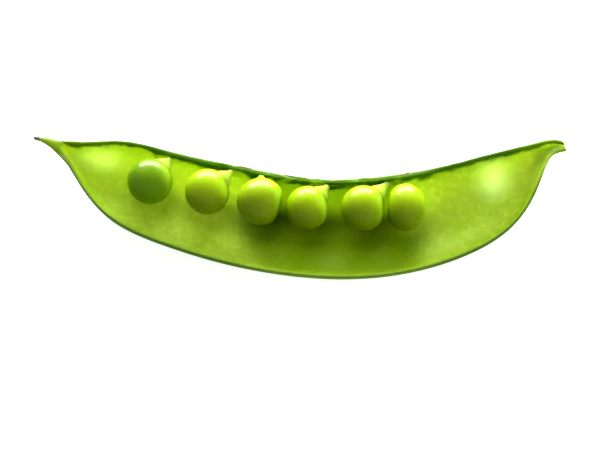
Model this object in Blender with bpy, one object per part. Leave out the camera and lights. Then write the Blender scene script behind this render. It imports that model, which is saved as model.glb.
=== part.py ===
"""One half of a garden pea pod, lying on its back with its inside up, and its six peas.

Sizes are in metres, with +Z up. X runs along the pod from the beak to the stalk. Y runs across it,
from the belly edge to the suture, which is the edge that the peas grow from.
"""

import math

import bmesh
import bpy
import numpy as np
from mathutils import Vector

MM = 0.001

# The centre line of the cord along the suture, seen from above, from the beak's tip to the stalk's end.
SUTURE_LINE = MM * np.array(
    [(-50.1, 9.95), (-47.8, 9.6), (-44.5, 9.15), (-41, 9.05), (-34.8, 9.55), (-24, 7.45), (-12, 4.9),
     (4, 2.5), (14, 3.2), (26, 5.6), (36, 8.6), (43.5, 10.55), (46.5, 11.1), (47.9, 11.0), (49.0, 10.4)]
)
# The centre line of the rib along the belly edge, between the same two ends.
BELLY_LINE = MM * np.array(
    [(-50.1, 9.95), (-48.1, 9.5), (-45.1, 7.4), (-41.1, 1.8), (-34.6, -5.5), (-25, -10.2), (-12.4, -14.0),
     (0, -15.95), (10, -16.15), (20, -14.65), (30, -11.1), (38, -5.8), (42, -0.6), (45.1, 6.4),
     (46.2, 9.0), (47.3, 10.1), (49.0, 10.4)]
)
HALF_LENGTH = 50 * MM

# The wall, as a section across the pod.
WALL = 1.0 * MM
WALL_DEPTH = 5.9 * MM
DEEPEST = 0.42
SUTURE_FULLNESS = 2.0
BELLY_FULLNESS = 1.6
SHALLOW_ENDS = 1.4
FULL_MIDDLE = 2.2
FLAT_DEPTH = 0.06 * MM
END_RISE = 1.2 * MM
END_RISE_POWER = 5

# The thick edges, each a bead that runs into the wall.
CORD_RADIUS = 0.7 * MM
CORD_SPREAD = 1.1 * MM
RIB_RADIUS = 0.55 * MM
RIB_SPREAD = 0.7 * MM

# Both ends, where the two edges meet in a round rod.
BEAK_RADIUS = 0.42 * MM
BEAK_TIP_RADIUS = 0.2 * MM
BEAK_TIP_LENGTH = 2.5 * MM
STALK_RADIUS = 1.0 * MM
STALK_END_RADIUS = 0.75 * MM
STALK_END_LENGTH = 1.6 * MM
STALK_CHAMFER = 0.15 * MM

# How wide a section is where the rod starts to open into a wall, where it is all wall, and where both
# edges have their full form.
ROD_WIDTH = 0.5 * MM
WALL_WIDTH = 4.0 * MM
EDGE_WIDTH = 8.0 * MM

# How finely the pod is divided: along it, across its wall and round each edge.
STATIONS = 60
LINE_STEPS = 900
WALL_POINTS = 14
EDGE_POINTS = 3
END_CROWDING = 0.35

# One row for each pea, in millimetres: its place, its radii, the flats where it presses against a
# neighbour, as (bearing in degrees, distance from the centre), and how far towards the stalk from its
# centre its seed stalk is rooted.
PEAS = [
    {"place": (-28.1, 2.45), "radii": (4.2, 4.3, 4.15), "flats": [], "root": 3.6},
    {"place": (-17.3, 0.4), "radii": (4.15, 4.3, 4.1), "flats": [], "root": 4.1},
    {"place": (-7.35, -1.5), "radii": (4.45, 4.4, 4.2), "flats": [(-18, 3.6)], "root": -0.1},
    {"place": (1.3, -2.5), "radii": (4.0, 4.05, 4.0), "flats": [(-4, 3.75)], "root": 3.9},
    {"place": (11.55, -2.4), "radii": (4.15, 4.2, 4.1), "flats": [(-4, 3.8)], "root": 3.9},
    {"place": (19.35, -1.85), "radii": (3.75, 4.45, 4.15), "flats": [(176, 3.3)], "root": -0.4},
]
FLAT_SHARPNESS = 12
PEA_RINGS = 14
PEA_SIDES = 24
GAP = 0.3 * MM
HALVINGS = 20

# The dents that the peas have pressed into the wall, which stand out on its outer face.
BULGE = 0.28 * MM
BULGE_RADIUS = 4.6 * MM

# Seed stalks, from the cord to the pea. The neck is the thin stretch, as shares of the stalk's length.
SEED_STALK_ROOT_RADIUS = 0.55 * MM
SEED_STALK_NECK_RADIUS = 0.42 * MM
SEED_STALK_FOOT_RADIUS = 0.65 * MM
SEED_STALK_NECK = (0.55, 0.8)
SEED_STALK_RINGS = 7
SEED_STALK_SIDES = 8
SEED_STALK_ARCH = 0.5 * MM
SEED_STALK_LIFT = 0.4 * MM

SHARP_ANGLE = math.radians(50)
CUTTER_DEPTH = 2 * MM


def clear_scene():
    for obj in list(bpy.data.objects):
        bpy.data.objects.remove(obj, do_unlink=True)


def smooth_line(points, fractions):
    """Points at these fractions of the length of a natural cubic spline through the given points."""
    steps = np.linalg.norm(np.diff(points, axis=0), axis=1)
    knots = np.concatenate([[0], np.cumsum(steps)])
    count = len(points)
    system = np.eye(count)
    right = np.zeros((count, 2))
    for i in range(1, count - 1):
        system[i, i - 1 : i + 2] = steps[i - 1], 2 * (steps[i - 1] + steps[i]), steps[i]
        slope_after = (points[i + 1] - points[i]) / steps[i]
        slope_before = (points[i] - points[i - 1]) / steps[i - 1]
        right[i] = 6 * (slope_after - slope_before)
    bend = np.linalg.solve(system, right)

    at = np.linspace(0, knots[-1], LINE_STEPS)
    i = np.clip(np.searchsorted(knots, at, side="right") - 1, 0, count - 2)
    h = steps[i][:, None]
    after = (at[:, None] - knots[i][:, None]) / h
    before = 1 - after
    fine = before * points[i] + after * points[i + 1]
    fine = fine + ((before**3 - before) * bend[i] + (after**3 - after) * bend[i + 1]) * h**2 / 6

    length = np.concatenate([[0], np.cumsum(np.linalg.norm(np.diff(fine, axis=0), axis=1))])
    wanted = fractions * length[-1]
    return np.stack([np.interp(wanted, length, fine[:, axis]) for axis in (0, 1)], axis=1), wanted


def smooth_step(value, low, high):
    x = np.clip((value - low) / (high - low), 0, 1)
    return x * x * (3 - 2 * x)


def rim_height(x):
    rise = END_RISE * np.abs(x / HALF_LENGTH) ** END_RISE_POWER
    return WALL_DEPTH + WALL / 2 - FLAT_DEPTH + rise


def bulge(x, y):
    """How far the wall is pushed down at a place, by the peas above it."""
    depth = 0
    for pea in PEAS:
        away = np.hypot(x - pea["place"][0] * MM, y - pea["place"][1] * MM)
        depth = depth + BULGE * np.exp(-((away / BULGE_RADIUS) ** 4))
    return depth


def wall_depth(width, widest):
    """How far a section's middle hangs below its edges: nearly all of the depth until close to the ends."""
    share = (width / widest) ** SHALLOW_ENDS
    return WALL_DEPTH * (1 - (1 - share) ** FULL_MIDDLE)


def wall_ring(suture, across, width, depth, rod):
    """The closed outline of one section: its inner face, the rib, its outer face and the cord."""
    share = (1 - np.cos(np.linspace(0, math.pi, WALL_POINTS))) / 2
    near_suture = share < DEEPEST
    from_keel = np.where(near_suture, (DEEPEST - share) / DEEPEST, (share - DEEPEST) / (1 - DEEPEST))
    fullness = np.where(near_suture, SUTURE_FULLNESS, BELLY_FULLNESS)
    hang = depth * np.clip(1 - from_keel**2, 0, 1) ** (1 / fullness)
    middle = suture + np.outer(share * width, across)
    middle[:, 2] -= hang
    middle[:, 2] -= bulge(middle[:, 0], middle[:, 1]) * smooth_step(hang, 0, depth)

    flat = np.stack([middle @ across, middle[:, 2]], axis=1)
    flat -= flat[0]
    run = np.concatenate([[0], np.cumsum(np.linalg.norm(np.diff(flat, axis=0), axis=1))])
    slope = np.gradient(flat, run, axis=0)
    slope /= np.linalg.norm(slope, axis=1)[:, None]
    formed = smooth_step(width, ROD_WIDTH, EDGE_WIDTH)
    cord = rod + (CORD_RADIUS - rod) * formed
    rib = rod + (RIB_RADIUS - rod) * formed
    half = WALL / 2 + (cord - WALL / 2) * np.exp(-((run / CORD_SPREAD) ** 2))
    half += (rib - WALL / 2) * np.exp(-(((run[-1] - run) / RIB_SPREAD) ** 2))

    def edge(i, start, turn):
        """Points round an edge, from one face of the wall to the other."""
        angles = start + turn * np.arange(1, EDGE_POINTS + 1) * math.pi / (EDGE_POINTS + 1)
        ahead, up = slope[i], np.array([-slope[i][1], slope[i][0]])
        return flat[i] + half[i] * (np.outer(np.cos(angles), ahead) + np.outer(np.sin(angles), up))

    normal = np.stack([-slope[:, 1], slope[:, 0]], axis=1) * half[:, None]
    ring = np.concatenate(
        [flat + normal, edge(-1, math.pi / 2, -1), (flat - normal)[::-1], edge(0, -math.pi / 2, -1)]
    )
    return suture + np.outer(ring[:, 0], across) + np.outer(ring[:, 1], (0, 0, 1))


def rod_ring(centre, across, width, radius):
    """An oval round both edges, with its points in the same order as a wall ring's."""
    count = 2 * (WALL_POINTS + EDGE_POINTS)
    angles = math.pi - (np.arange(count) + (EDGE_POINTS + 1) / 2) * 2 * math.pi / count
    sideways = (width / 2 + radius) * np.outer(np.cos(angles), across)
    return centre + sideways + radius * np.outer(np.sin(angles), (0, 0, 1))


def valve_rings():
    """The valve as a row of closed rings, from the beak's tip to the cut end of the stalk."""
    even = np.linspace(0, 1, STATIONS)
    fractions = (1 - END_CROWDING) * even + END_CROWDING * (1 - np.cos(math.pi * even)) / 2
    suture, run = smooth_line(SUTURE_LINE, fractions)
    belly, _ = smooth_line(BELLY_LINE, fractions)
    along = np.gradient((suture + belly) / 2, axis=0)
    along /= np.linalg.norm(along, axis=1)[:, None]
    square = np.stack([along[:, 1], -along[:, 0]], axis=1)
    widths = np.linalg.norm(belly - suture, axis=1)
    wall_share = smooth_step(widths, ROD_WIDTH, WALL_WIDTH)
    beak = BEAK_TIP_RADIUS + (BEAK_RADIUS - BEAK_TIP_RADIUS) * smooth_step(run, 0, BEAK_TIP_LENGTH)
    from_stalk_end = smooth_step(run[-1] - run, 0, STALK_END_LENGTH)
    stalk = STALK_END_RADIUS + (STALK_RADIUS - STALK_END_RADIUS) * from_stalk_end
    rod = np.where(run < run[-1] / 2, beak, stalk)

    rings = []
    for i in range(STATIONS):
        across = square[i]
        if wall_share[i] > 0:
            chord = (belly[i] - suture[i]) / widths[i]
            across = wall_share[i] * chord + (1 - wall_share[i]) * square[i]
        across = np.append(across / np.linalg.norm(across), 0)
        centre = np.append((suture[i] + belly[i]) / 2, 0)
        centre[2] = rim_height(centre[0])
        width = max(widths[i], ROD_WIDTH)
        depth = wall_depth(width, widths.max())
        wall = wall_ring(centre - across * width / 2, across, width, depth, rod[i])
        ring = rod_ring(centre, across, widths[i], rod[i])
        rings.append(wall_share[i] * wall + (1 - wall_share[i]) * ring)
    return rings


def closed_mesh(name, rings, tips):
    """A mesh through the rings, closed at each end by a fan to a tip."""
    count = len(rings[0])
    corners = np.concatenate([*rings, tips])
    first_tip = len(rings) * count
    faces = []
    for i in range(len(rings) - 1):
        for j in range(count):
            k = (j + 1) % count
            faces.append((i * count + j, i * count + k, (i + 1) * count + k, (i + 1) * count + j))
    last = (len(rings) - 1) * count
    for j in range(count):
        k = (j + 1) % count
        faces.append((first_tip, k, j))
        faces.append((first_tip + 1, last + j, last + k))
    mesh = bpy.data.meshes.new(name)
    mesh.from_pydata(corners.tolist(), [], faces)
    shape = bmesh.new()
    shape.from_mesh(mesh)
    bmesh.ops.triangulate(shape, faces=shape.faces)
    bmesh.ops.recalc_face_normals(shape, faces=shape.faces)
    shape.to_mesh(mesh)
    shape.free()
    mesh.shade_smooth()
    mesh.set_sharp_from_angle(angle=SHARP_ANGLE)
    return mesh


def new_object(name, mesh, material, parent):
    obj = bpy.data.objects.new(name, mesh)
    bpy.context.scene.collection.objects.link(obj)
    obj.parent = parent
    mesh.materials.append(material)
    return obj


def plant_material(name, colour, roughness):
    material = bpy.data.materials.new(name)
    material.use_nodes = True
    shader = material.node_tree.nodes["Principled BSDF"]
    shader.inputs["Base Color"].default_value = (*colour, 1)
    shader.inputs["Roughness"].default_value = roughness
    shader.inputs["Metallic"].default_value = 0
    return material


def valve_mesh(rings):
    """The valve and its two ends, with a small bevel and a shallow dish on the stalk's cut end."""
    beak_end = rings[0].mean(axis=0)
    beak_way = beak_end - rings[1].mean(axis=0)
    beak_tip = beak_end + beak_way / np.linalg.norm(beak_way) * BEAK_TIP_RADIUS
    stalk_end = rings[-1].mean(axis=0)
    stalk_way = stalk_end - rings[-2].mean(axis=0)
    stalk_way /= np.linalg.norm(stalk_way)
    bevel = stalk_end + (rings[-1] - stalk_end) * (1 - STALK_CHAMFER / STALK_END_RADIUS)
    bevel = bevel + stalk_way * STALK_CHAMFER
    dish = stalk_end + stalk_way * STALK_CHAMFER / 2
    return closed_mesh("pod_valve", [*rings, bevel], [beak_tip, dish])


def pea_reach(pea, ways):
    """How far a pea's surface is from its centre, along each of these unit directions."""
    round_reach = 1 / np.linalg.norm(ways / (MM * np.array(pea["radii"])), axis=1)
    nearness = round_reach**-FLAT_SHARPNESS
    for bearing, distance in pea["flats"]:
        facing = ways @ (math.cos(math.radians(bearing)), math.sin(math.radians(bearing)), 0)
        nearness = nearness + (np.clip(facing, 0, 1) / (distance * MM)) ** FLAT_SHARPNESS
    return nearness ** (-1 / FLAT_SHARPNESS)


def resting_place(pea, inner_face):
    """The pea's centre, lowered into the valve until it is a gap away from the wall."""
    low, high = 0, 3 * WALL_DEPTH
    for _ in range(HALVINGS):
        centre = np.array([*(MM * np.array(pea["place"])), (low + high) / 2])
        away = inner_face - centre
        distance = np.linalg.norm(away, axis=1)
        if (distance - pea_reach(pea, away / distance[:, None])).min() > GAP:
            high = centre[2]
        else:
            low = centre[2]
    return centre


def pea_mesh(name, pea, pole):
    """A sphere whose pole points to the seed stalk, drawn in to the pea's own form."""
    shape = bmesh.new()
    bmesh.ops.create_uvsphere(shape, u_segments=PEA_SIDES, v_segments=PEA_RINGS, radius=1)
    bmesh.ops.rotate(shape, verts=shape.verts, matrix=Vector(pole).to_track_quat("Z", "Y").to_matrix())
    ways = np.array([vertex.co for vertex in shape.verts])
    ways /= np.linalg.norm(ways, axis=1)[:, None]
    for vertex, way, reach in zip(shape.verts, ways, pea_reach(pea, ways)):
        vertex.co = way * reach
    bmesh.ops.triangulate(shape, faces=shape.faces)
    mesh = bpy.data.meshes.new(name)
    shape.to_mesh(mesh)
    shape.free()
    mesh.shade_smooth()
    return mesh


def seed_stalk_mesh(name, root, foot):
    """A thin arched stalk, widest at its foot. Its rings are all square to the way to the pea."""
    share = np.linspace(0, 1, SEED_STALK_RINGS)[:, None]
    line = root + (foot - root) * share
    line[:, 2] += (SEED_STALK_ARCH * 4 * share * (1 - share))[:, 0]
    neck_radii = (SEED_STALK_NECK_RADIUS, SEED_STALK_NECK_RADIUS)
    radii = (SEED_STALK_ROOT_RADIUS, *neck_radii, SEED_STALK_FOOT_RADIUS)
    radii = np.interp(share[:, 0], (0, *SEED_STALK_NECK, 1), radii)
    ahead = (foot - root) / np.linalg.norm(foot - root)
    side = np.cross(ahead, (0, 0, 1))
    side /= np.linalg.norm(side)
    up = np.cross(side, ahead)
    angles = np.arange(SEED_STALK_SIDES) * 2 * math.pi / SEED_STALK_SIDES
    rings = [
        line[i] + radii[i] * (np.outer(np.cos(angles), side) + np.outer(np.sin(angles), up))
        for i in range(SEED_STALK_RINGS)
    ]
    return closed_mesh(name, rings, [line[0], line[-1]])


def cord_point(x):
    """The centre of the cord at this distance along the pod."""
    line, _ = smooth_line(SUTURE_LINE, np.linspace(0, 1, LINE_STEPS))
    return np.array([x, np.interp(x, line[:, 0], line[:, 1]), rim_height(x)])


def join_and_remove(obj, collection):
    """One Boolean union of the object with all that the collection holds."""
    union = obj.modifiers.new("join", "BOOLEAN")
    union.operation = "UNION"
    union.solver = "EXACT"
    union.operand_type = "COLLECTION"
    union.collection = collection
    bpy.context.view_layer.update()
    joined = bpy.data.meshes.new_from_object(obj.evaluated_get(bpy.context.evaluated_depsgraph_get()))
    obj.modifiers.remove(union)
    obj.data = joined
    obj.data.name = obj.name
    for part in list(collection.objects):
        bpy.data.objects.remove(part, do_unlink=True)
    bpy.data.collections.remove(collection)


def cut_flat_below(obj, parent):
    """Takes off what reaches below the surface that the pod lies on."""
    shape = bmesh.new()
    bmesh.ops.create_cube(shape, size=1)
    bmesh.ops.scale(shape, vec=(3 * HALF_LENGTH, 2 * HALF_LENGTH, CUTTER_DEPTH), verts=shape.verts)
    bmesh.ops.translate(shape, vec=(0, 0, -CUTTER_DEPTH / 2), verts=shape.verts)
    mesh = bpy.data.meshes.new("surface_cutter")
    shape.to_mesh(mesh)
    shape.free()
    cutter = bpy.data.objects.new("surface_cutter", mesh)
    bpy.context.scene.collection.objects.link(cutter)
    cutter.parent = parent
    cutter.hide_render = True
    cutter.display_type = "WIRE"
    flat = obj.modifiers.new("flat_spot", "BOOLEAN")
    flat.operation = "DIFFERENCE"
    flat.solver = "EXACT"
    flat.object = cutter


def footprint_centre(objects):
    corners = np.array([obj.location + vertex.co for obj in objects for vertex in obj.data.vertices])
    low, high = corners.min(axis=0), corners.max(axis=0)
    return (low + high) / 2


def build():
    clear_scene()
    pod = bpy.data.objects.new("pea_pod", None)
    bpy.context.scene.collection.objects.link(pod)
    valve_green = plant_material("valve_green", (0.4, 0.6, 0.06), 0.45)
    pea_green = plant_material("pea_green", (0.3, 0.5, 0.02), 0.35)

    rings = valve_rings()
    inner_face = np.concatenate([ring[:WALL_POINTS] for ring in rings])
    valve = new_object("pod_valve", valve_mesh(rings), valve_green, pod)
    stalks = bpy.data.collections.new("seed_stalks")
    bpy.context.scene.collection.children.link(stalks)
    objects = [valve]
    for number, pea in enumerate(PEAS, start=1):
        centre = resting_place(pea, inner_face)
        root = cord_point(centre[0] + pea["root"] * MM) + np.array([0, 0, SEED_STALK_LIFT])
        pole = (root - centre) / np.linalg.norm(root - centre)
        foot = centre + pole * (pea_reach(pea, pole[None, :])[0] + GAP)
        stalk_mesh = seed_stalk_mesh(f"seed_stalk_{number}", root, foot)
        stalks.objects.link(bpy.data.objects.new(stalk_mesh.name, stalk_mesh))
        name = f"pea_{number}"
        obj = new_object(name, pea_mesh(name, pea, pole), pea_green, pod)
        obj.location = centre
        objects.append(obj)
    join_and_remove(valve, stalks)
    cut_flat_below(valve, pod)
    middle = footprint_centre(objects)
    pod.location = (-middle[0], -middle[1], 0)


build()
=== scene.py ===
"""An opened garden pea pod: one half of the pod on its back, with six peas on their seed stalks.

Everything is in metres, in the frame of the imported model. X runs along the pod from the beak to the
stalk, Y runs across it from the belly edge to the suture, and Z is up.
"""

import math
import random

import bpy
import numpy as np
from mathutils import Matrix, Vector, noise


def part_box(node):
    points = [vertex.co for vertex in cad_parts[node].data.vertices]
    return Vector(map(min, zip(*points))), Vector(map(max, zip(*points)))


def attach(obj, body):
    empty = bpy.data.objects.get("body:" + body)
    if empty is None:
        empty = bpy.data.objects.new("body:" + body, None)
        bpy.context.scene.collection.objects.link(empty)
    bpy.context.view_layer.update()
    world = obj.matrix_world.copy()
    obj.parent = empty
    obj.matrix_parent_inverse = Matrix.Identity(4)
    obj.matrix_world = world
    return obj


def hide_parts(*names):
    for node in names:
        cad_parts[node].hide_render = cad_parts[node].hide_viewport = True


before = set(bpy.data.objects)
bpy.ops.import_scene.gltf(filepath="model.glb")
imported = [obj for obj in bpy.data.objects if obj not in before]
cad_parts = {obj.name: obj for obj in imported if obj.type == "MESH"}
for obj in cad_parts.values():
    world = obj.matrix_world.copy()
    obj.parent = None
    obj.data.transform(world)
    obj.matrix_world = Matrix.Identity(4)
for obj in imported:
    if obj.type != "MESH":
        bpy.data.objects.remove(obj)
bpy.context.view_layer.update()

# The valve. It is one half of the pod's wall, about a millimetre thick, drawn in to a slim cord along
# the suture, where the peas grow, and to a thin rib along the belly edge. It grew as one piece, so it is
# one mesh, made of closed rings across the pod from the dry beak to the stub of the stalk.
MM = 0.001
SUTURE_LINE = MM * np.array(
    [(-50.1, 9.95), (-47.8, 9.6), (-44.5, 9.15), (-41, 9.05), (-34.8, 9.55), (-24, 7.45), (-12, 4.9),
     (4, 2.5), (14, 3.2), (26, 5.6), (36, 8.6), (43.5, 10.7), (46.5, 11.4), (47.9, 11.35), (49.05, 10.95)]
)
BELLY_LINE = MM * np.array(
    [(-50.1, 9.95), (-48.1, 9.5), (-45.1, 7.4), (-41.1, 1.8), (-34.6, -5.5), (-25, -10.2), (-12.4, -14.0),
     (0, -15.95), (10, -16.15), (20, -14.65), (30, -11.1), (38, -5.8), (42, -0.6), (44.7, 5.4),
     (46.1, 8.45), (47.0, 9.5), (48.05, 10.0), (49.25, 10.25)]
)
HALF_LENGTH = 50 * MM

# The wall, as a section across the pod. Its keel is at this share of the way from the suture.
WALL = 1.0 * MM
WALL_DEPTH = 5.9 * MM
DEEPEST = 0.42
SUTURE_FULLNESS = 2.0
BELLY_FULLNESS = 1.6
SHALLOW_ENDS = 1.4
FULL_MIDDLE = 2.2
FLAT_DEPTH = 0.06 * MM
END_RISE = 1.2 * MM
END_RISE_POWER = 5
WAVE_HEIGHT = 0.05 * MM
WAVE_LENGTH = 5 * MM
SMOOTH_EDGE = 3 * MM

# Both edges, each a slim round bead that the wall thins to, a little outward of its line.
CORD_RADIUS = 0.4 * MM
CORD_SPREAD = 1.3 * MM
CORD_OUTWARD = 0.28 * MM
CORD_WAVE = 0.13
CORD_WAVE_LENGTH = 1.6 * MM
RIB_RADIUS = 0.3 * MM
RIB_SPREAD = 1.6 * MM
RIB_OUTWARD = 0.22 * MM

# Both ends: a thin beak with a knob at its tip, and a flat stub with a lip on either side.
BEAK_RADIUS = 0.42 * MM
BEAK_TIP_RADIUS = 0.2 * MM
BEAK_TIP_LENGTH = 2.5 * MM
BEAK_KNOB = 0.12 * MM
BEAK_KNOB_PLACE = 0.45 * MM
STALK_LIP = 0.42 * MM
STALK_BODY = 0.7 * MM
STALK_BODY_WIDTH = 7.0 * MM

# How wide a section is where the beak starts to open into a wall, where it is all wall, and where both
# edges have their full form.
ROD_WIDTH = 0.5 * MM
WALL_WIDTH = 4.0 * MM
EDGE_WIDTH = 8.0 * MM

# How finely the pod is divided: along it, across its wall and round each edge.
STATIONS = 420
WALL_POINTS = 56
EDGE_POINTS = 9
LINE_STEPS = 900
END_CROWDING = 0.35
SHARP_ANGLE = math.radians(50)
NOISE_SHIFT = (17.3, 5.1, 11.7)

# One row for each pea, in millimetres: its place seen from above, its radii, and the flats where it
# grew against its neighbours, as (bearing and rise in degrees, distance from its centre). "root" is how
# far towards the stalk its seed stalk is rooted and "drop" how far below the cord's middle. "scar" is
# how pale the strip down its side is; the next number is how far its painted light reaches before the
# painted shade on its far side; and "shade" is how dark the painted shade on the wall is beside it.
PEAS = [
    {"place": (-28.1, 2.45), "radii": (4.2, 4.3, 4.15), "flats": [],
     "root": 3.6, "drop": 0.4, "scar": 0.6, "painted_light_reach": -0.12, "shade": 0.1},
    {"place": (-17.3, 0.4), "radii": (4.15, 4.3, 4.1), "flats": [(-2, 27, 3.9)],
     "root": 4.4, "drop": 0.2, "scar": 0.8, "painted_light_reach": 0.2, "shade": 0.25},
    {"place": (-7.35, -1.5), "radii": (4.45, 4.4, 4.2), "flats": [(-18, 0, 3.6), (-20, 32, 3.8)],
     "root": -0.1, "drop": -0.3, "scar": 1.0, "painted_light_reach": -0.14, "shade": 1.0},
    {"place": (1.3, -2.5), "radii": (4.0, 4.05, 4.0), "flats": [(-4, 0, 3.75), (-2, 32, 3.55)],
     "root": 3.6, "drop": 0.2, "scar": 0.9, "painted_light_reach": 0.14, "shade": 0.9},
    {"place": (11.55, -2.4), "radii": (4.15, 4.2, 4.1), "flats": [(-4, 0, 3.8), (-6, 32, 3.7)],
     "root": 4.5, "drop": 0.6, "scar": 0.9, "painted_light_reach": 0.0, "shade": 0.95},
    {"place": (19.35, -1.85), "radii": (3.75, 4.45, 4.15), "flats": [(176, 0, 3.3)],
     "root": -0.4, "drop": 1.5, "scar": 0.45, "painted_light_reach": 0.08, "shade": 0.35},
]

# The dents that the peas have pressed into the wall, and the shade on the belly side of each pea.
BULGE = 0.28 * MM
BULGE_RADIUS = 4.6 * MM
BULGE_POWER = 4
SHADE_REACH = 3.2 * MM
SHADE_START = 2.6 * MM
SHADE_LENGTH = 3.9 * MM
SHADE_SHIFT = np.array((1.2 * MM, 0, 0))

# Two patches of painted light, where light shining through the wall is painted into the lining as a pale
# glow: place, width and height in millimetres, and how pale each is.
PAINTED_GLOW_PATCHES = [(-37.3, 7.8, 3.3, 1.8, 0.5), (36.4, 5.5, 2.7, 3.1, 0.85)]

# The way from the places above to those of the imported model, as the first pea shows it.
low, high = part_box("pea_1")
first_place = MM * np.array(PEAS[0]["place"])
to_frame = np.array([(low.x + high.x) / 2 - first_place[0], (low.y + high.y) / 2 - first_place[1], 0])


def smooth_line(points, fractions):
    """Points at these fractions of the length of a natural cubic spline through the given points."""
    steps = np.linalg.norm(np.diff(points, axis=0), axis=1)
    knots = np.concatenate([[0], np.cumsum(steps)])
    count = len(points)
    system = np.eye(count)
    right = np.zeros((count, 2))
    for i in range(1, count - 1):
        system[i, i - 1 : i + 2] = steps[i - 1], 2 * (steps[i - 1] + steps[i]), steps[i]
        slope_after = (points[i + 1] - points[i]) / steps[i]
        slope_before = (points[i] - points[i - 1]) / steps[i - 1]
        right[i] = 6 * (slope_after - slope_before)
    bend = np.linalg.solve(system, right)

    at = np.linspace(0, knots[-1], LINE_STEPS)
    i = np.clip(np.searchsorted(knots, at, side="right") - 1, 0, count - 2)
    h = steps[i][:, None]
    after = (at[:, None] - knots[i][:, None]) / h
    before = 1 - after
    fine = before * points[i] + after * points[i + 1]
    fine = fine + ((before**3 - before) * bend[i] + (after**3 - after) * bend[i + 1]) * h**2 / 6

    length = np.concatenate([[0], np.cumsum(np.linalg.norm(np.diff(fine, axis=0), axis=1))])
    wanted = fractions * length[-1]
    return np.stack([np.interp(wanted, length, fine[:, axis]) for axis in (0, 1)], axis=1), wanted


def smooth_step(value, low, high):
    """0 below low and 1 above high, with a soft change between."""
    x = np.clip((value - low) / (high - low), 0, 1)
    return x * x * (3 - 2 * x)


def waves(points, length, seed):
    """Smooth noise from -1 to 1 at each point, whose waves are about this long."""
    scaled = np.asarray(points) / length + seed * np.array(NOISE_SHIFT)
    return np.array([noise.noise(Vector(point)) for point in scaled])


def rim_height(x):
    """How high both edges are at this distance along the pod. They rise a little towards its ends."""
    rise = END_RISE * np.abs(x / HALF_LENGTH) ** END_RISE_POWER
    return WALL_DEPTH + WALL / 2 - FLAT_DEPTH + rise


def bulge(x, y):
    """How far the wall is pushed down at a place, by the peas above it."""
    depth = 0
    for pea in PEAS:
        away = np.hypot(x - pea["place"][0] * MM, y - pea["place"][1] * MM)
        depth = depth + BULGE * np.exp(-((away / BULGE_RADIUS) ** BULGE_POWER))
    return depth


def wall_section(suture, across, width, depth, rod, body):
    """The closed outline of one section, with three facts for each of its points: how far it is along
    the wall from the suture and from the belly edge, and how far it has turned from the outer face, at
    0, to the inner one, at 1."""
    share = (1 - np.cos(np.linspace(0, math.pi, WALL_POINTS))) / 2
    near_suture = share < DEEPEST
    from_keel = np.where(near_suture, (DEEPEST - share) / DEEPEST, (share - DEEPEST) / (1 - DEEPEST))
    fullness = np.where(near_suture, SUTURE_FULLNESS, BELLY_FULLNESS)
    hang = depth * np.clip(1 - from_keel**2, 0, 1) ** (1 / fullness)
    middle = suture + np.outer(share * width, across)
    middle[:, 2] -= hang
    middle[:, 2] -= bulge(middle[:, 0], middle[:, 1]) * smooth_step(hang, 0, depth)

    flat = np.stack([middle @ across, middle[:, 2]], axis=1)
    flat -= flat[0]
    run = np.concatenate([[0], np.cumsum(np.linalg.norm(np.diff(flat, axis=0), axis=1))])
    slope = np.gradient(flat, run, axis=0)
    slope /= np.linalg.norm(slope, axis=1)[:, None]
    formed = smooth_step(width, ROD_WIDTH, EDGE_WIDTH)
    cord_wave = waves([suture], CORD_WAVE_LENGTH, seed=1)[0]
    cord = rod + (CORD_RADIUS * (1 + CORD_WAVE * cord_wave) - rod) * formed
    rib = rod + (RIB_RADIUS - rod) * formed
    half = WALL / 2 + (cord - WALL / 2) * np.exp(-((run / CORD_SPREAD) ** 2))
    half += (rib - WALL / 2) * np.exp(-(((run[-1] - run) / RIB_SPREAD) ** 2))
    away_from_edges = smooth_step(np.minimum(run, run[-1] - run), 0, SMOOTH_EDGE)
    swell = WAVE_HEIGHT * waves(middle, WAVE_LENGTH, seed=2) * away_from_edges

    turn = np.arange(1, EDGE_POINTS + 1) / (EDGE_POINTS + 1)

    def edge(i, start):
        """Points round an edge, from one face of the wall to the other."""
        angles = start - turn * math.pi
        ahead, up = slope[i], np.array([-slope[i][1], slope[i][0]])
        return flat[i] + half[i] * (np.outer(np.cos(angles), ahead) + np.outer(np.sin(angles), up))

    normal = np.stack([-slope[:, 1], slope[:, 0]], axis=1)
    inner = flat + normal * (half + swell)[:, None]
    outer = flat - normal * (half - swell + body * np.sin(math.pi * share))[:, None]
    ring = np.concatenate([inner, edge(-1, math.pi / 2), outer[::-1], edge(0, -math.pi / 2)])
    points = suture + np.outer(ring[:, 0], across) + np.outer(ring[:, 1], (0, 0, 1))

    caps = np.zeros(EDGE_POINTS)
    from_suture = np.concatenate([run, caps + run[-1], run[::-1], caps])
    inside = np.concatenate([np.ones(WALL_POINTS), 1 - turn, np.zeros(WALL_POINTS), turn])
    return points, np.stack([from_suture, run[-1] - from_suture, inside], axis=1)


def rod_ring(centre, across, width, radius):
    """An oval round both edges, with its points in the same order as a section's."""
    count = 2 * (WALL_POINTS + EDGE_POINTS)
    angles = math.pi - (np.arange(count) + (EDGE_POINTS + 1) / 2) * 2 * math.pi / count
    sideways = (width / 2 + radius) * np.outer(np.cos(angles), across)
    return centre + sideways + radius * np.outer(np.sin(angles), (0, 0, 1))


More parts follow.
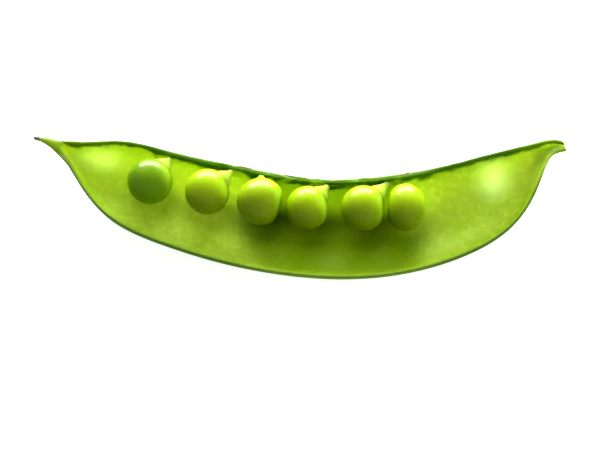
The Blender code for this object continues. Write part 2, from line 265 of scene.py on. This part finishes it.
def valve_rings():
    """Every ring of the valve, with each point's facts and how far along the pod it is."""
    even = np.linspace(0, 1, STATIONS)
    fractions = (1 - END_CROWDING) * even + END_CROWDING * (1 - np.cos(math.pi * even)) / 2
    suture, run = smooth_line(SUTURE_LINE, fractions)
    belly, _ = smooth_line(BELLY_LINE, fractions)
    along = np.gradient((suture + belly) / 2, axis=0)
    along /= np.linalg.norm(along, axis=1)[:, None]
    square = np.stack([along[:, 1], -along[:, 0]], axis=1)
    widths = np.linalg.norm(belly - suture, axis=1)
    beak_half = run < run[-1] / 2
    wall_share = np.where(beak_half, smooth_step(widths, ROD_WIDTH, WALL_WIDTH), 1)
    beak = BEAK_TIP_RADIUS + (BEAK_RADIUS - BEAK_TIP_RADIUS) * smooth_step(run, 0, BEAK_TIP_LENGTH)
    beak = beak + BEAK_KNOB * np.exp(-(((run - BEAK_KNOB_PLACE) / BEAK_KNOB_PLACE) ** 2))
    rod = np.where(beak_half, beak, STALK_LIP)
    body = np.where(beak_half, 0, STALK_BODY * smooth_step(STALK_BODY_WIDTH - widths, 0, STALK_BODY_WIDTH))

    rings, facts = [], []
    for i in range(STATIONS):
        across = square[i]
        if wall_share[i] > 0:
            chord = (belly[i] - suture[i]) / widths[i]
            across = wall_share[i] * chord + (1 - wall_share[i]) * square[i]
        across = np.append(across / np.linalg.norm(across), 0)
        centre = np.append((suture[i] + belly[i]) / 2, 0)
        centre[2] = rim_height(centre[0])
        width = max(widths[i], ROD_WIDTH)
        margin = centre - across * (width / 2 + CORD_OUTWARD)
        full_width = width + CORD_OUTWARD + RIB_OUTWARD
        depth = wall_depth(width, widths.max())
        wall, fact = wall_section(margin, across, full_width, depth, rod[i], body[i])
        ring = rod_ring(centre, across, widths[i], rod[i])
        rings.append(wall_share[i] * wall + (1 - wall_share[i]) * ring)
        facts.append(np.column_stack([fact, np.full(len(fact), run[i])]))
    return rings, facts


def wall_depth(width, widest):
    """How far a section's middle hangs below its edges: nearly all of the depth until close to the ends."""
    share = (width / widest) ** SHALLOW_ENDS
    return WALL_DEPTH * (1 - (1 - share) ** FULL_MIDDLE)


def ring_mesh(name, rings, tips):
    """A mesh of quads through the rings, closed at each end by a fan to a tip."""
    count = len(rings[0])
    corners = np.concatenate([*rings, tips])
    first_tip = len(rings) * count
    j = np.arange(count)
    k = (j + 1) % count
    faces = []
    for i in range(len(rings) - 1):
        low, high = i * count, (i + 1) * count
        faces += np.stack([low + k, low + j, high + j, high + k], axis=1).tolist()
    last = (len(rings) - 1) * count
    faces += np.stack([np.full(count, first_tip), j, k], axis=1).tolist()
    faces += np.stack([np.full(count, first_tip + 1), last + k, last + j], axis=1).tolist()
    mesh = bpy.data.meshes.new(name)
    mesh.from_pydata(corners.tolist(), [], faces)
    mesh.shade_smooth()
    mesh.set_sharp_from_angle(angle=SHARP_ANGLE)
    return mesh


def new_object(name, data):
    made = bpy.data.objects.new(name, data)
    bpy.context.scene.collection.objects.link(made)
    return made


def new_piece(name, mesh, material, node):
    """A piece of the pod that rides with it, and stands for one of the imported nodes."""
    mesh.materials.append(material)
    piece = new_object(name, mesh)
    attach(piece, "root")
    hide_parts(node)


def set_fact(mesh, name, values):
    """Gives each point of a mesh a number, which its material reads by this name."""
    attribute = mesh.attributes.new(name, "FLOAT", "POINT")
    attribute.data.foreach_set("value", np.asarray(values, dtype=np.float32))


class Value:
    """A number that changes over a surface, which Python's operators turn into Math nodes."""

    def __init__(self, finish, socket):
        self.finish = finish
        self.socket = socket

    def math(self, operation, *others):
        inputs = dict(enumerate((self, *others)))
        return self.finish.node("ShaderNodeMath", {"operation": operation}, inputs)

    def __add__(self, other):
        return self.math("ADD", other)

    def __sub__(self, other):
        return self.math("SUBTRACT", other)

    def __rsub__(self, other):
        return self.finish.node("ShaderNodeMath", {"operation": "SUBTRACT"}, {0: other, 1: self})

    def __mul__(self, other):
        return self.math("MULTIPLY", other)

    __radd__ = __add__
    __rmul__ = __mul__

    def step(self, low, high):
        """0 below low and 1 above high, with a soft change between, and the reverse if low is above high."""
        down = low > high
        inputs = {"Value": self, "From Min": min(low, high), "From Max": max(low, high)}
        inputs.update({"To Min": float(down), "To Max": float(not down)})
        return self.finish.node("ShaderNodeMapRange", {"interpolation_type": "SMOOTHSTEP"}, inputs)

    def band(self, start, full, fading, end):
        """1 from full to fading, and 0 before start and after end, with soft changes between."""
        return self.step(start, full) * self.step(end, fading)


class Finish:
    """A material whose nodes are made one by one: type, settings, then the values of its sockets."""

    def __init__(self, name, **constants):
        self.material = bpy.data.materials.new(name)
        self.material.use_nodes = True
        self.tree = self.material.node_tree
        self.shader = self.tree.nodes["Principled BSDF"]
        self.shaders = [self.shader]
        for socket, value in constants.items():
            self.shader.inputs[socket.replace("_", " ")].default_value = value

    def node(self, kind, settings=None, inputs=None, output=0):
        made = self.tree.nodes.new(kind)
        for name, value in (settings or {}).items():
            setattr(made, name, value)
        for name, value in (inputs or {}).items():
            self.feed(made.inputs[name], value)
        return Value(self, made.outputs[output])

    def feed(self, socket, value):
        if isinstance(value, Value):
            self.tree.links.new(value.socket, socket)
        elif isinstance(value, tuple) and len(value) == 3 and socket.type == "RGBA":
            socket.default_value = (*value, 1)
        else:
            socket.default_value = value

    def fact(self, name):
        return self.node("ShaderNodeAttribute", {"attribute_name": name}, output="Fac")

    def place(self, stretch=(1, 1, 1)):
        """Where the point is on the pod, in millimetres, stretched along each axis."""
        coordinates = self.node("ShaderNodeTexCoord", output="Object")
        scale = tuple(factor / MM for factor in stretch)
        return self.node("ShaderNodeVectorMath", {"operation": "MULTIPLY"}, {0: coordinates, 1: scale})

    def noise(self, size, detail=3, stretch=(1, 1, 1)):
        """Soft noise from 0 to 1, whose patches are about this many millimetres across."""
        inputs = {"Vector": self.place(stretch), "Scale": 1 / size, "Detail": detail}
        return self.node("ShaderNodeTexNoise", {"noise_dimensions": "3D"}, inputs, "Fac")

    def cells(self, size, stretch=(1, 1, 1)):
        """How far a point is from the nearest border of a net of cells about this many millimetres wide."""
        settings = {"feature": "DISTANCE_TO_EDGE"}
        inputs = {"Vector": self.place(stretch), "Scale": 1 / size}
        return self.node("ShaderNodeTexVoronoi", settings, inputs, "Distance")

    def mix(self, share, first, second):
        """The first colour where the share is 0 and the second where it is 1."""
        made = self.tree.nodes.new("ShaderNodeMix")
        made.data_type = "RGBA"
        for socket, value in zip((made.inputs[0], made.inputs[6], made.inputs[7]), (share, first, second)):
            self.feed(socket, value)
        return Value(self, made.outputs[2])

    def layers(self, colour, *layers):
        """A colour with others laid over it in turn, each given as its share and its colour."""
        for share, over in layers:
            colour = self.mix(share, colour, over)
        return colour

    def bump(self, height, distance):
        inputs = {"Height": height, "Distance": distance, "Strength": 1.0}
        return self.node("ShaderNodeBump", {}, inputs, "Normal")

    def shade(self, **varying):
        for shader in self.shaders:
            for socket, value in varying.items():
                self.feed(shader.inputs[socket.replace("_", " ")], value)
        return self.material

    def second_shader(self, share, **constants):
        """Mixes in a shader with other constants, which shows where the share is 1."""
        second = self.tree.nodes.new("ShaderNodeBsdfPrincipled")
        for socket, value in constants.items():
            second.inputs[socket.replace("_", " ")].default_value = value
        both = self.tree.nodes.new("ShaderNodeMixShader")
        self.feed(both.inputs[0], share)
        self.tree.links.new(self.shader.outputs[0], both.inputs[1])
        self.tree.links.new(second.outputs[0], both.inputs[2])
        self.tree.links.new(both.outputs[0], self.tree.nodes["Material Output"].inputs["Surface"])
        self.shaders.append(second)


# The wall's colours, as linear red, green and blue: its lining, which is the inner face, the line along
# the suture, which is partly painted shade, its outer skin, and its edges and ends.
LINING = ((0.34, 0.5, 0.035), (0.41, 0.57, 0.055))
LINING_SPECKS = (0.5, 0.65, 0.1)
LINING_SILK = (0.26, 0.41, 0.02)
LINING_DARK_MIDDLE = (0.14, 0.245, 0.0005)
LINING_LOW = (0.14, 0.22, 0.001)
LINING_AT_RIB = (0.09, 0.18, 0.001)
LINING_BEHIND_PEAS = (0.24, 0.46, 0.005)
LINING_HIGH = (0.2, 0.33, 0.006)
LINING_AT_BEAK = (0.18, 0.32, 0.006)
LINING_PAST_PEAS = (0.2, 0.29, 0.035)
LINING_PAINTED_GLOW = (0.6, 0.83, 0.46)
LINING_SHADE_AT_CORD = (0.12, 0.26, 0.003)
LINING_MOTTLE = (0.42, 0.6, 0.05)
LINING_SHADE = (0.015, 0.1, 0.0008)
LINE_AND_SHADE = (0.06, 0.18, 0.0015)
LINE_AT_BEAK = (0.14, 0.28, 0.001)
LINE_AT_STALK = (0.16, 0.32, 0.002)
SKIN = ((0.05, 0.13, 0.006), (0.075, 0.17, 0.009))
SKIN_BLOOM = (0.12, 0.24, 0.05)
SKIN_VEINS = (0.17, 0.3, 0.07)
SKIN_EDGES = (0.2, 0.34, 0.03)
SKIN_AT_STALK = (0.25, 0.42, 0.01)
RIB = (0.07, 0.15, 0.002)
TORN_MARGIN = (0.22, 0.42, 0.05)
BEAK = (0.27, 0.42, 0.008)
DRY_BEAK = (0.3, 0.34, 0.06)
BEAK_TIP = (0.14, 0.17, 0.07)
CUT_END = (0.6, 0.76, 0.2)

# Stretches of the pod, in millimetres along the suture from the tip of the beak: where each starts, is
# full, begins to fade and ends. The peas sit close in the filled one, the margin tore and left pale
# flesh in the torn ones, and the dark line along the suture, partly painted shade, is narrow or broad
# in the last two.
FILLED = (38.5, 45.5, 66.5, 74)
TORN = (36, 38.5, 73, 78)
PART_TORN = (24, 26, 34, 36)
THIN_LINE = (10, 13, 19, 23)
THICK_LINE = (28.5, 31, 35, 38)

# Stretches that run on to an end of the pod, in the same millimetres: where each starts and is full.
# Those that start higher than they are full run on to the beak.
NEAR_BEAK = (22, 10)
BEAK_START = (6.5, 2.8)
DRY_START = (2.2, 1.5)
TIP_START = (1.3, 0.8)
FULLER_RIB = (24, 9)
OPEN_END = (70, 76)
PAST_PEAS = (71, 79)
SLIM_LINE = (73, 82)
NEAR_STALK = (88, 99)
STUB = (92, 97)
STUB_END = (97, 101)


def suture_line_and_shade(finish, from_suture, along, torn, rough_edge):
    """Where the dark, uneven line along the suture shows, and its colour: partly the cord's own deeper green
    and partly painted shade on the cord's inner side.
    """
    uneven = (finish.noise(3.2, 2) - 0.5) * 3.0
    thin = along.band(*THIN_LINE) + along.step(*SLIM_LINE) * 0.6
    thick = along.band(*THICK_LINE) * 0.6 + torn * 0.4
    edge = from_suture + rough_edge + uneven + thin * 0.8 - thick * 0.45
    edge = edge + along.step(*STUB_END) * 0.7
    breaks = finish.noise(1.3, 2, stretch=(0.3, 1, 1)).step(0.54, 0.62) * torn * 0.7
    line = edge.step(1.9, 0.35) * (1 - breaks)
    at_beak, at_stalk = along.step(*NEAR_BEAK), along.step(*NEAR_STALK)
    return line, finish.layers(LINE_AND_SHADE, (at_beak, LINE_AT_BEAK), (at_stalk, LINE_AT_STALK))


def valve_finish():
    """Silky pale green within, deep green with a whitish bloom and a net of veins without."""
    finish = Finish(
        "valve_skin", Subsurface_Weight=1.0, Subsurface_Radius=(1.2, 1.22, 0.6),
        Subsurface_Scale=3.5 * MM, Specular_IOR_Level=0.07
    )
    from_suture = finish.fact("from_suture")
    from_belly = finish.fact("from_belly")
    along = finish.fact("along")
    turn = finish.fact("inside")
    inside = turn.step(0.35, 0.65)
    shade = finish.fact("shade")
    soft = finish.noise(6, 2)
    mottle = finish.noise(1.3, 4)
    silk = finish.noise(0.9, 3, stretch=(1.0, 0.25, 0.5))
    filled = along.band(*FILLED)
    torn = along.band(*TORN)
    stub = along.step(*STUB)

    behind_peas = filled * from_suture.step(11, 4) * 0.7
    low_share = 0.75 + along.step(*OPEN_END) * 0.25
    lining = finish.layers(
        finish.mix(soft.step(0.35, 0.65), *LINING),
        (mottle.step(0.45, 0.68) * 0.5, LINING_SPECKS),
        (silk.step(0.5, 0.72) * 0.4, LINING_SILK),
        # The lining is darker along the middle stretch.
        (filled * 0.95, LINING_DARK_MIDDLE),
        (from_belly.step(10, 1) * low_share * (1 - filled), LINING_LOW),
        (from_belly.step(3.5, 0.4) * 0.75 * (1 - filled), LINING_AT_RIB),
        (behind_peas, LINING_BEHIND_PEAS),
        (from_suture.step(8, 0) * 0.6, LINING_HIGH),
        (along.step(*NEAR_BEAK) * 0.6, LINING_AT_BEAK),
        (along.step(*PAST_PEAS) * from_suture.step(13, 7) * 0.65, LINING_PAST_PEAS),
        # Painted light: the pale glow of light shining through the wall, carried by the attribute named
        # thin.
        (finish.fact("thin"), LINING_PAINTED_GLOW),
        # Painted shade: the lining darkened next to the cord, running on from the dark line.
        (from_suture.step(3.2, 0.8) * 0.5, LINING_SHADE_AT_CORD),
        (mottle.step(0.42, 0.7) * 0.15 * (1 - filled * 0.75), LINING_MOTTLE),
        (shade, LINING_SHADE)
    )
    rough_edge = (finish.noise(1.1, 3) - 0.5) * 1.7
    line, line_and_shade_colour = suture_line_and_shade(finish, from_suture, along, torn, rough_edge)
    # The dark line along the suture: partly the cord's own deeper green, partly painted shade.
    lining = finish.mix(line, lining, line_and_shade_colour)

    veins = finish.cells(2.2, stretch=(0.7, 1, 1)).step(0.09, 0.0)
    fine_veins = finish.cells(0.8).step(0.08, 0.0)
    skin = finish.layers(
        finish.mix(soft.step(0.3, 0.7), *SKIN),
        (mottle.step(0.45, 0.75) * 0.4, SKIN_BLOOM),
        (veins * 0.35 + fine_veins * 0.12, SKIN_VEINS),
        ((from_suture.step(1.2, 0.3) + from_belly.step(1.0, 0.2)) * 0.55, SKIN_EDGES),
        (stub * 0.85, SKIN_AT_STALK)
    )

    rib_edge = from_belly - along.step(*FULLER_RIB) * 0.5 - along.step(*STUB_END) * 0.3
    rib = rib_edge.step(0.9, 0.1) * (1 - stub * 0.8)
    margin = (turn + rough_edge * 0.3).step(0.97, 0.85) * from_suture.step(0.3, 0.1)
    whole_margin = margin * (1 - torn)
    torn_margin = margin * (torn + along.band(*PART_TORN) * 0.5)
    beak = along.step(*BEAK_START)
    colour = finish.layers(
        finish.mix(inside, skin, lining),
        (rib * (0.8 - filled * 0.6), RIB),
        # The untorn margin takes the dark line's colour, painted shade included.
        (whole_margin * 0.85, line_and_shade_colour),
        (torn_margin * 0.85, TORN_MARGIN),
        (beak * 0.8, BEAK),
        (along.step(*DRY_START) * 0.7, DRY_BEAK),
        (along.step(*TIP_START), BEAK_TIP),
        (finish.fact("cut"), CUT_END)
    )

    dense = (1 - inside) + line + whole_margin + rib + beak + shade + behind_peas * 0.4
    finish.second_shader(
        dense.math("MINIMUM", 1.0), Subsurface_Weight=0.35, Subsurface_Radius=(0.8, 1.0, 0.4),
        Subsurface_Scale=0.5 * MM, Specular_IOR_Level=0.1
    )
    relief = (veins * 0.5 + fine_veins * 0.2) * (1 - inside) + (silk * 0.25 + mottle * 0.3) * inside
    roughness = 0.42 + mottle * 0.12 - inside * 0.04
    return finish.shade(Base_Color=colour, Roughness=roughness, Normal=finish.bump(relief, 0.06 * MM))


def pea_centre(number):
    """A pea's centre in the frame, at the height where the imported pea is."""
    place = PEAS[number - 1]["place"]
    low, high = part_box(f"pea_{number}")
    return np.array([place[0] * MM + to_frame[0], place[1] * MM + to_frame[1], (low.z + high.z) / 2])


def pea_shade(points):
    """How deep each point of the wall is in the shade beside a pea, from 0 to 1."""
    open_share = np.ones(len(points))
    for number, pea in enumerate(PEAS, start=1):
        centre = pea_centre(number)
        from_middle = np.linalg.norm(points - centre - SHADE_SHIFT, axis=1)
        away = from_middle - np.mean(pea["radii"]) * MM
        belly_side = smooth_step(centre[1] + SHADE_START - points[:, 1], 0, SHADE_LENGTH)
        near = np.exp(-((np.maximum(away, 0) / SHADE_REACH) ** 2))
        open_share = open_share * (1 - pea["shade"] * belly_side * near)
    return 1 - open_share


def painted_glow(points):
    """How strong the painted glow, light through the wall painted as pale colour, is at each point, from 0
    to 1.
    """
    patch = np.zeros(len(points))
    for x, y, wide, high, share in PAINTED_GLOW_PATCHES:
        across = (points[:, 0] / MM - to_frame[0] / MM - x) / wide
        up = (points[:, 1] / MM - to_frame[1] / MM - y) / high
        patch = patch + share * np.exp(-(across**2 + up**2))
    return np.minimum(patch, 1)


def valve_mesh(rings, facts):
    tips = [rings[0].mean(axis=0), rings[-1].mean(axis=0)]
    mesh = ring_mesh("pod_wall", rings, tips)
    points = np.concatenate([*rings, tips])
    facts = np.concatenate([*facts, facts[0][:1], facts[-1][:1]])
    set_fact(mesh, "from_suture", facts[:, 0] / MM)
    set_fact(mesh, "from_belly", facts[:, 1] / MM)
    set_fact(mesh, "inside", facts[:, 2])
    set_fact(mesh, "along", facts[:, 3] / MM)
    set_fact(mesh, "shade", pea_shade(points))
    # Painted light: where the pale glow of light through the wall is painted, stored under the name thin.
    set_fact(mesh, "thin", painted_glow(points))
    set_fact(mesh, "cut", np.arange(len(points)) == len(points) - 1)
    return mesh


rings, facts = valve_rings()
rings = [ring + to_frame for ring in rings]
for ring in rings:
    ring[:, 2] = np.maximum(ring[:, 2], 0)
new_piece("pod_wall", valve_mesh(rings, facts), valve_finish(), "pod_valve")

# The seed stalks. Each is a short pale cord that fed its pea. It grows out of the suture, in one with
# the valve, and opens into a soft pad where it holds the pea's skin.
SEED_STALK_RADII = (0.5, 0.58, 0.8, 1.15, 1.55, 1.9, 2.1)
SEED_STALK_RINGS = 28
SEED_STALK_SIDES = 24
SEED_STALK_ARCH = 0.3 * MM
SEED_STALK_LUMPS = 0.05
SEED_STALK_LUMP_LENGTH = 0.5 * MM
ROOT_INWARD = 0.6 * MM
PAD_SINK = 1.0 * MM
FLAT_SHARPNESS = 12


def pea_reach(pea, ways):
    """How far a pea's surface is from its centre, along each of these unit directions."""
    nearness = (np.linalg.norm(ways / (MM * np.array(pea["radii"])), axis=1)) ** FLAT_SHARPNESS
    for bearing, rise, distance in pea["flats"]:
        bearing, rise = math.radians(bearing), math.radians(rise)
        way = (math.cos(bearing) * math.cos(rise), math.sin(bearing) * math.cos(rise), math.sin(rise))
        nearness = nearness + (np.clip(ways @ way, 0, 1) / (distance * MM)) ** FLAT_SHARPNESS
    return nearness ** (-1 / FLAT_SHARPNESS)


def cord_point(x):
    """The centre of the cord at this distance along the pod, in the frame."""
    line, _ = smooth_line(SUTURE_LINE, np.linspace(0, 1, LINE_STEPS))
    design_x = x - to_frame[0]
    y = np.interp(design_x, line[:, 0], line[:, 1]) + to_frame[1]
    return np.array([x, y, rim_height(design_x)])


def seed_stalk_mesh(name, root, foot, seed):
    share = np.linspace(0, 1, SEED_STALK_RINGS)
    line = root + np.outer(share, foot - root)
    line[:, 2] += SEED_STALK_ARCH * 4 * share * (1 - share)
    radii = np.interp(share, np.linspace(0, 1, len(SEED_STALK_RADII)), SEED_STALK_RADII) * MM
    ahead = (foot - root) / np.linalg.norm(foot - root)
    side = np.cross(ahead, (0, 0, 1))
    side /= np.linalg.norm(side)
    up = np.cross(side, ahead)
    angles = np.arange(SEED_STALK_SIDES) * 2 * math.pi / SEED_STALK_SIDES
    ways = np.outer(np.cos(angles), side) + np.outer(np.sin(angles), up)
    rings = []
    for centre, radius in zip(line, radii):
        lumps = 1 + SEED_STALK_LUMPS * waves(centre + ways * radius, SEED_STALK_LUMP_LENGTH, seed)
        rings.append(centre + ways * (radius * lumps)[:, None])
    return ring_mesh(name, rings, [line[0], line[-1]])


def seed_stalk_finish():
    """Soft, wet flesh of a pale yellowish green, which light passes through."""
    finish = Finish(
        "seed_stalk_flesh", Subsurface_Weight=1.0, Subsurface_Radius=(1.0, 1.1, 0.6),
        Subsurface_Scale=5 * MM, Specular_IOR_Level=0.12
    )
    colour = finish.mix(finish.noise(0.6).step(0.35, 0.7), (0.38, 0.66, 0.025), (0.48, 0.76, 0.06))
    relief = finish.noise(0.25, 2)
    roughness = 0.38 + relief * 0.1
    return finish.shade(Base_Color=colour, Roughness=roughness, Normal=finish.bump(relief, 0.05 * MM))


stalk_flesh = seed_stalk_finish()
poles = []
for number, pea in enumerate(PEAS, start=1):
    centre = pea_centre(number)
    root = cord_point(centre[0] + pea["root"] * MM)
    root -= (0, ROOT_INWARD, pea["drop"] * MM)
    pole = (root - centre) / np.linalg.norm(root - centre)
    foot = centre + pole * (pea_reach(pea, pole[None, :])[0] - PAD_SINK)
    poles.append(pole)
    name = f"seed_stalk_{number}"
    new_piece(name, seed_stalk_mesh(name, root, foot, number), stalk_flesh, "pod_valve")

# The torn fibres. Thin pale strands of the pod's own skin, left along the suture above the last four
# peas, where the other half was pulled away.
FIBRE_COUNT = 34
FIBRE_SIDES = 6
FIBRE_STEPS = 9
FIBRE_SEED = 4
FIBRE_PLACES = (-13.5 * MM, 21.0 * MM)
FIBRE_LENGTHS = (1.2 * MM, 4.2 * MM)
FIBRE_RADII = (0.06 * MM, 0.14 * MM)
FIBRE_TAPER = 0.75
FIBRE_SHIFTS = (-0.15, 0.25)
FIBRE_DRIFT = 0.22 * MM
FIBRE_DRIFT_LENGTH = 1.5 * MM
FIBRE_LIFTS = (0.28 * MM, 0.5 * MM)


def fibre_rings(start, length, radius, shift, lift, seed):
    """The rings and both tips of a strand that starts and ends on the cord, and lifts off between."""
    share = np.linspace(0, 1, FIBRE_STEPS)
    line = np.array([cord_point(start + length * step) for step in share])
    line[:, 1] += CORD_OUTWARD + shift + FIBRE_DRIFT * waves(line, FIBRE_DRIFT_LENGTH, seed)
    line[:, 2] += lift * np.sin(math.pi * share) ** 0.5
    angles = np.arange(FIBRE_SIDES) * 2 * math.pi / FIBRE_SIDES
    ring = np.stack([np.zeros(FIBRE_SIDES), np.cos(angles), np.sin(angles)], axis=1)
    thickness = radius * (1 - FIBRE_TAPER * np.abs(2 * share - 1) ** 2)
    return [middle + ring * thick for middle, thick in zip(line, thickness)], [line[0], line[-1]]


def fibre_mesh():
    """Every strand, in one mesh."""
    chance = random.Random(FIBRE_SEED)
    corners, faces = [], []
    for number in range(FIBRE_COUNT):
        place = chance.uniform(*FIBRE_PLACES)
        length = chance.uniform(*FIBRE_LENGTHS)
        radius = chance.uniform(*FIBRE_RADII)
        shift = chance.uniform(*FIBRE_SHIFTS) * MM
        rings, tips = fibre_rings(place, length, radius, shift, chance.uniform(*FIBRE_LIFTS), number)
        strand = ring_mesh("strand", rings, tips)
        first = len(corners)
        corners += [vertex.co.copy() for vertex in strand.vertices]
        faces += [[first + corner for corner in face.vertices] for face in strand.polygons]
        bpy.data.meshes.remove(strand)
    mesh = bpy.data.meshes.new("torn_fibres")
    mesh.from_pydata(corners, [], faces)
    mesh.shade_smooth()
    return mesh


fibre_finish = Finish(
    "dry_fibre", Base_Color=(0.42, 0.62, 0.18, 1), Roughness=0.5, Subsurface_Weight=0.5,
    Subsurface_Radius=(1.0, 1.0, 0.6), Subsurface_Scale=1.0 * MM
)
new_piece("torn_fibres", fibre_mesh(), fibre_finish.material, "pod_valve")

# The peas. Each is a round green seed in a smooth, slightly waxy skin, flattened a little where it grew
# against its neighbours, with a paler strip down the side towards the stalk. The side towards the
# suture is painted lighter and the side away from it painted darker, as painted light and shade, and
# the first pea is a deeper green than the others.
PEA_RINGS = 72
PEA_SIDES = 112
PEA_UNEVEN = 0.008
PEA_WAVE_LENGTH = 0.8
PEA_NOISE_SEED = 20
SCAR_START = np.array((0.66, 0.36, 0.66))
SCAR_END = np.array((0.87, -0.47, 0.14))
SCAR_STEPS = 13
SCAR_WIDTH = 1.25 * MM
SCAR_FADE = 0.3
# The way towards the light on each pea: its skin is painted lighter on this side and painted shade on the
# other.
PAINTED_LIGHT_SIDE = (0.0, 0.9, 0.43)

# Linear colours: each skin's painted shade, on its side away from the light, then the two that its
# patches lie between, and the grain and the strip that all of them have.
DEEP_PEA = ((0.14, 0.29, 0.0005), (0.14, 0.3, 0.001), (0.21, 0.38, 0.001))
LIGHT_PEA = ((0.19, 0.28, 0.0005), (0.37, 0.57, 0.001), (0.43, 0.63, 0.002))
PEA_GRAIN = (0.4, 0.6, 0.005)
PEA_SCAR = (0.46, 0.8, 0.02)


def pea_mesh(name, pea, centre, pole, seed):
    """A pea whose rings circle the way to its seed stalk."""
    around = Vector(pole).to_track_quat("Z", "Y").to_matrix()
    polar = np.linspace(0, math.pi, PEA_RINGS + 2)[1:-1]
    angles = np.arange(PEA_SIDES) * 2 * math.pi / PEA_SIDES
    circle = np.stack([np.cos(angles), np.sin(angles), np.ones(PEA_SIDES)], axis=1)
    rows = [circle * (np.sin(p), np.sin(p), np.cos(p)) for p in polar]
    ways = np.concatenate([*rows, [(0, 0, 1), (0, 0, -1)]]) @ np.array(around).T
    uneven = PEA_UNEVEN * waves(ways, PEA_WAVE_LENGTH, PEA_NOISE_SEED + seed)
    reach = pea_reach(pea, ways) * (1 + uneven)
    points = centre + ways * reach[:, None]
    mesh = ring_mesh(name, np.split(points[:-2], PEA_RINGS), points[-2:])
    mesh.flip_normals()

    shares = np.linspace(0, 1, SCAR_STEPS)[:, None]
    scar_ways = SCAR_START * (1 - shares) + SCAR_END * shares
    scar_ways /= np.linalg.norm(scar_ways, axis=1)[:, None]
    scar_line = centre + scar_ways * pea_reach(pea, scar_ways)[:, None]
    away = np.array([np.linalg.norm(points - spot, axis=1) for spot in scar_line])
    fade = pea["scar"] * (1 - SCAR_FADE * shares)
    set_fact(mesh, "scar", (np.exp(-((away / SCAR_WIDTH) ** 2)) * fade).max(axis=0))
    # Painted light and shade: how far each point faces the light, shifted by each pea's own reach.
    set_fact(mesh, "painted_light_side", ways @ PAINTED_LIGHT_SIDE + pea["painted_light_reach"])
    return mesh


def pea_finish(name, shaded, deep, light):
    finish = Finish(
        name, Subsurface_Weight=0.7, Subsurface_Radius=(0.9, 1.3, 0.25), Subsurface_Scale=1.8 * MM,
        Specular_IOR_Level=0.38, Specular_Tint=(1.0, 1.0, 0.75, 1)
    )
    grain = finish.noise(0.5, 3)
    colour = finish.layers(
        finish.mix(finish.noise(3.0, 2).step(0.3, 0.7), deep, light),
        (grain.step(0.5, 0.8) * 0.25, PEA_GRAIN),
        # Painted shade on the side of the pea away from the light.
        (finish.fact("painted_light_side").step(0.75, -0.4) * 0.88, shaded),
        (finish.fact("scar"), PEA_SCAR)
    )
    roughness = 0.25 + grain * 0.06
    return finish.shade(Base_Color=colour, Roughness=roughness, Normal=finish.bump(grain, 0.03 * MM))


deep_pea = pea_finish("pea_skin_deep", *DEEP_PEA)
light_pea = pea_finish("pea_skin_light", *LIGHT_PEA)
for number, pea in enumerate(PEAS, start=1):
    name = f"pea_seed_{number}"
    mesh = pea_mesh(name, pea, pea_centre(number), poles[number - 1], number)
    new_piece(name, mesh, deep_pea if number == 1 else light_pea, f"pea_{number}")

# The surface that the pod lies on, and its light. A plain pale floor that shines a little of its own,
# a wide low window behind the pod, a lamp high behind it and another at its stalk's side, all white.
FLOOR_HALF = 2.0
FLOOR_DROP = 0.02 * MM
WORLD_LIGHT = 0.22

floor_corners = [(x * FLOOR_HALF, y * FLOOR_HALF, 0) for x, y in ((-1, -1), (1, -1), (1, 1), (-1, 1))]
floor_mesh = bpy.data.meshes.new("floor")
floor_mesh.from_pydata(floor_corners, [], [(0, 1, 2, 3)])
floor = new_object("floor", floor_mesh)
floor.location.z = -FLOOR_DROP
floor.visible_glossy = False
floor_finish = Finish(
    "pale_floor", Base_Color=(0.92, 0.92, 0.92, 1), Roughness=0.7, Emission_Color=(1, 1, 1, 1),
    Emission_Strength=0.8
)
floor_mesh.materials.append(floor_finish.material)

world = bpy.data.worlds.new("studio")
bpy.context.scene.world = world
world.use_nodes = True
world.node_tree.nodes["Background"].inputs["Color"].default_value = (1, 1, 1, 1)
world.node_tree.nodes["Background"].inputs["Strength"].default_value = WORLD_LIGHT


def lamp(name, place, power, width, height, mirrored):
    """A soft lamp that faces the pod. Only a mirrored one leaves a highlight on the skins."""
    light = bpy.data.lights.new(name, "AREA")
    light.shape = "RECTANGLE"
    light.size = width
    light.size_y = height
    light.energy = power
    holder = new_object(name, light)
    holder.location = place
    holder.visible_glossy = mirrored
    holder.rotation_euler = (-holder.location).to_track_quat("-Z", "Y").to_euler()


lamp("window", (-0.03, 0.66, 0.17), power=14, width=0.85, height=0.34, mirrored=True)
lamp("sky", (-0.06, 0.36, 0.48), power=1.8, width=0.5, height=0.5, mirrored=False)
lamp("side", (0.5, -0.1, 0.3), power=2, width=0.6, height=0.6, mirrored=False)
bpy.context.scene.view_settings.view_transform = "Standard"

# The camera, at the photograph's viewing angle: in front of the pod and well above it.
MM_PER_PIXEL = 0.18173
PICTURE_WIDTH = 600
LENS = 80
SENSOR = 36
CAMERA_HEIGHT_ANGLE = math.radians(65)
CAMERA_ROLL = math.radians(1.25)
AIM = Vector((0.000523, -0.006314, 0.0063))

camera_data = bpy.data.cameras.new("camera")
camera_data.lens = LENS
camera_data.sensor_width = SENSOR
camera = new_object("camera", camera_data)
back = Vector((0, -math.cos(CAMERA_HEIGHT_ANGLE), math.sin(CAMERA_HEIGHT_ANGLE)))
level = Vector((1, 0, 0))
upright = back.cross(level)
right = math.cos(CAMERA_ROLL) * level + math.sin(CAMERA_ROLL) * upright
up = -math.sin(CAMERA_ROLL) * level + math.cos(CAMERA_ROLL) * upright
distance = PICTURE_WIDTH * MM_PER_PIXEL * MM * LENS / SENSOR
turn = Matrix((right, up, back)).transposed()
camera.matrix_world = Matrix.Translation(AIM + back * distance) @ turn.to_4x4()
bpy.context.scene.camera = camera
